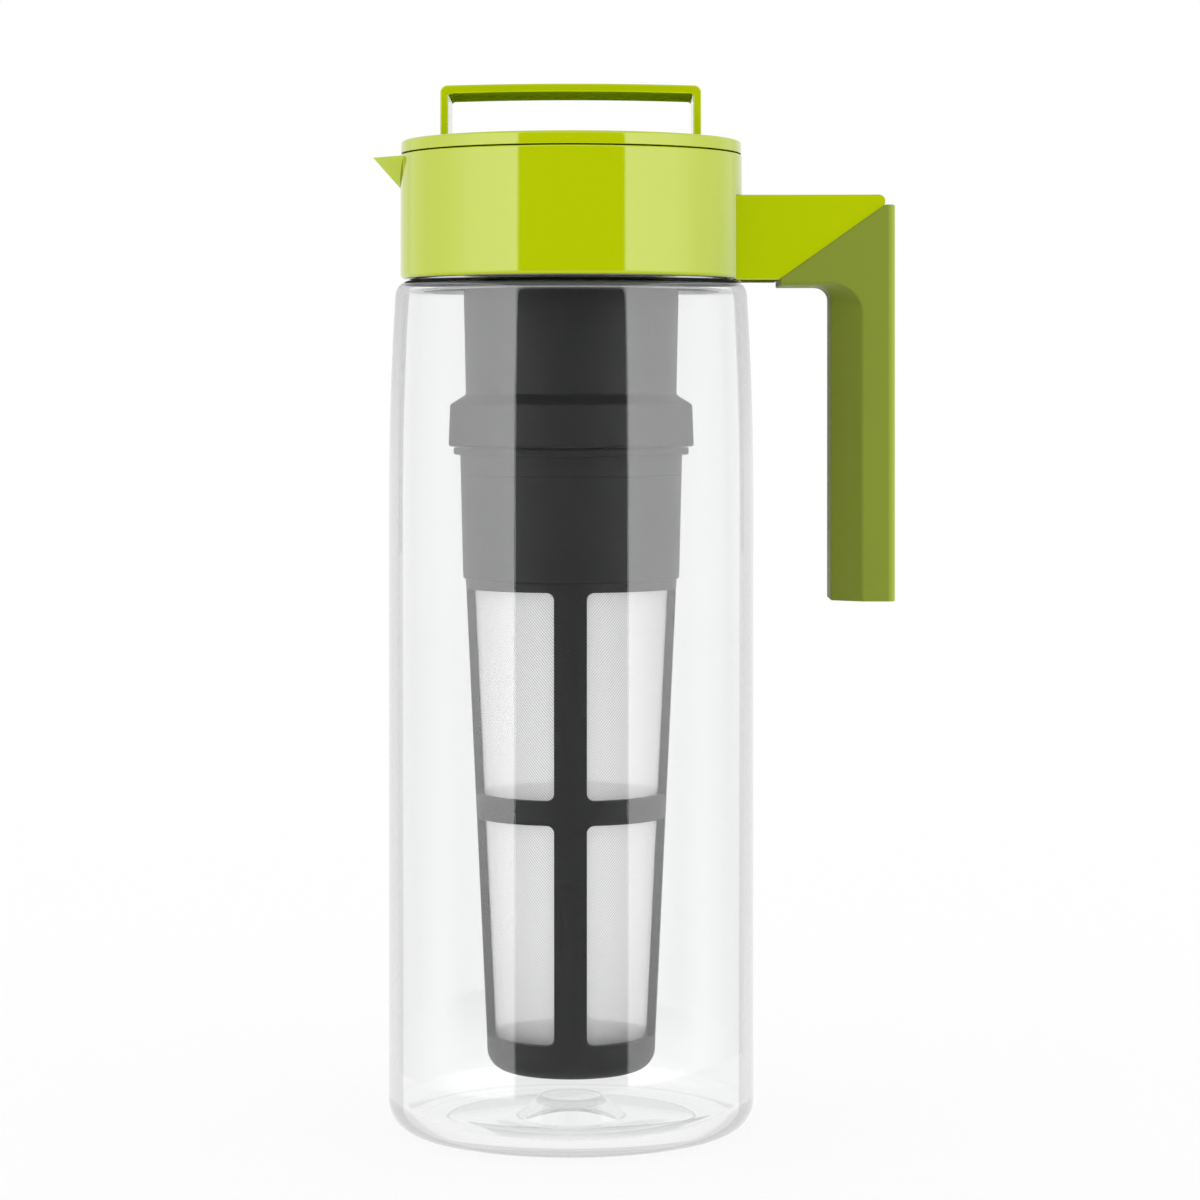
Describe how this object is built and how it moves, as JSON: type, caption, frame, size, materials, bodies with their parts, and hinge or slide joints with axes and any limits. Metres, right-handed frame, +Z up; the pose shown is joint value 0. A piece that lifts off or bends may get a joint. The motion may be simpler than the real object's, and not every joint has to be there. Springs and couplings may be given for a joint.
{
  "type": "iced tea pitcher",
  "caption": "Clear round pitcher with a screw-on spouted collar, an angled side handle and a lift-off lid that carries a hanging mesh infuser for brewing tea inside the jug.",
  "frame": {"origin": "on the table, under the middle of the whole pitcher's box, halfway between the spout's tip and the grip's outer face", "axes": "+Z up along the jug, +X from the spout to the handle, +Y towards the side away from the pictured front"},
  "size_m": [0.1582, 0.111, 0.3165],
  "materials": {
    "clear_body": "clear glossy moulded plastic",
    "lime_gloss": "glossy lime moulded plastic",
    "olive_soft": "matt olive soft-touch overmould",
    "charcoal": "satin charcoal moulded plastic",
    "mesh_cloth": "fine pale woven nylon mesh",
    "silicone": "pale translucent silicone"
  },
  "bodies": {
    "jug": {"jug": "clear_body"},
    "neck_seal": {"neck_gasket": "silicone"},
    "collar": {"collar": "lime_gloss", "handle_arm": "lime_gloss", "handle_grip": "olive_soft"},
    "lid_ring": {"lid_seal": "silicone"},
    "lid": {"lid_cap": "lime_gloss", "lid_bail": "lime_gloss", "lid_plug": "charcoal"},
    "extension": {"infuser_neck": "charcoal"},
    "basket": {"infuser_body": "charcoal", "infuser_cage": "charcoal", "infuser_mesh": "mesh_cloth"}
  },
  "joints": [
    {"name": "collar_rise", "type": "slide", "parent": "jug", "child": "neck_seal", "axis": [0, 0, 1], "range_m": [0, 0.006]},
    {"name": "collar_turn", "type": "hinge", "parent": "neck_seal", "child": "collar", "pos_m": [-0.0185, 0, 0.27], "axis": [0, 0, 1], "range_deg": [0, 360]},
    {"name": "lid_lift", "type": "slide", "parent": "collar", "child": "lid_ring", "axis": [0, 0, 1], "range_m": [0, 0.285]},
    {"name": "lid_twist", "type": "hinge", "parent": "lid_ring", "child": "lid", "pos_m": [-0.0185, 0, 0.296], "axis": [0, 0, 1], "range_deg": [0, 90]},
    {"name": "infuser_turn", "type": "hinge", "parent": "lid", "child": "extension", "pos_m": [-0.0185, 0, 0.278], "axis": [0, 0, 1], "range_deg": [0, 60]},
    {"name": "basket_turn", "type": "hinge", "parent": "extension", "child": "basket", "pos_m": [-0.0185, 0, 0.2105], "axis": [0, 0, 1], "range_deg": [0, 60]}
  ],
  "couplings": [
    {"joint": "collar_rise", "follows": "collar_turn", "m_per_rad": 0.00095493}
  ]
}
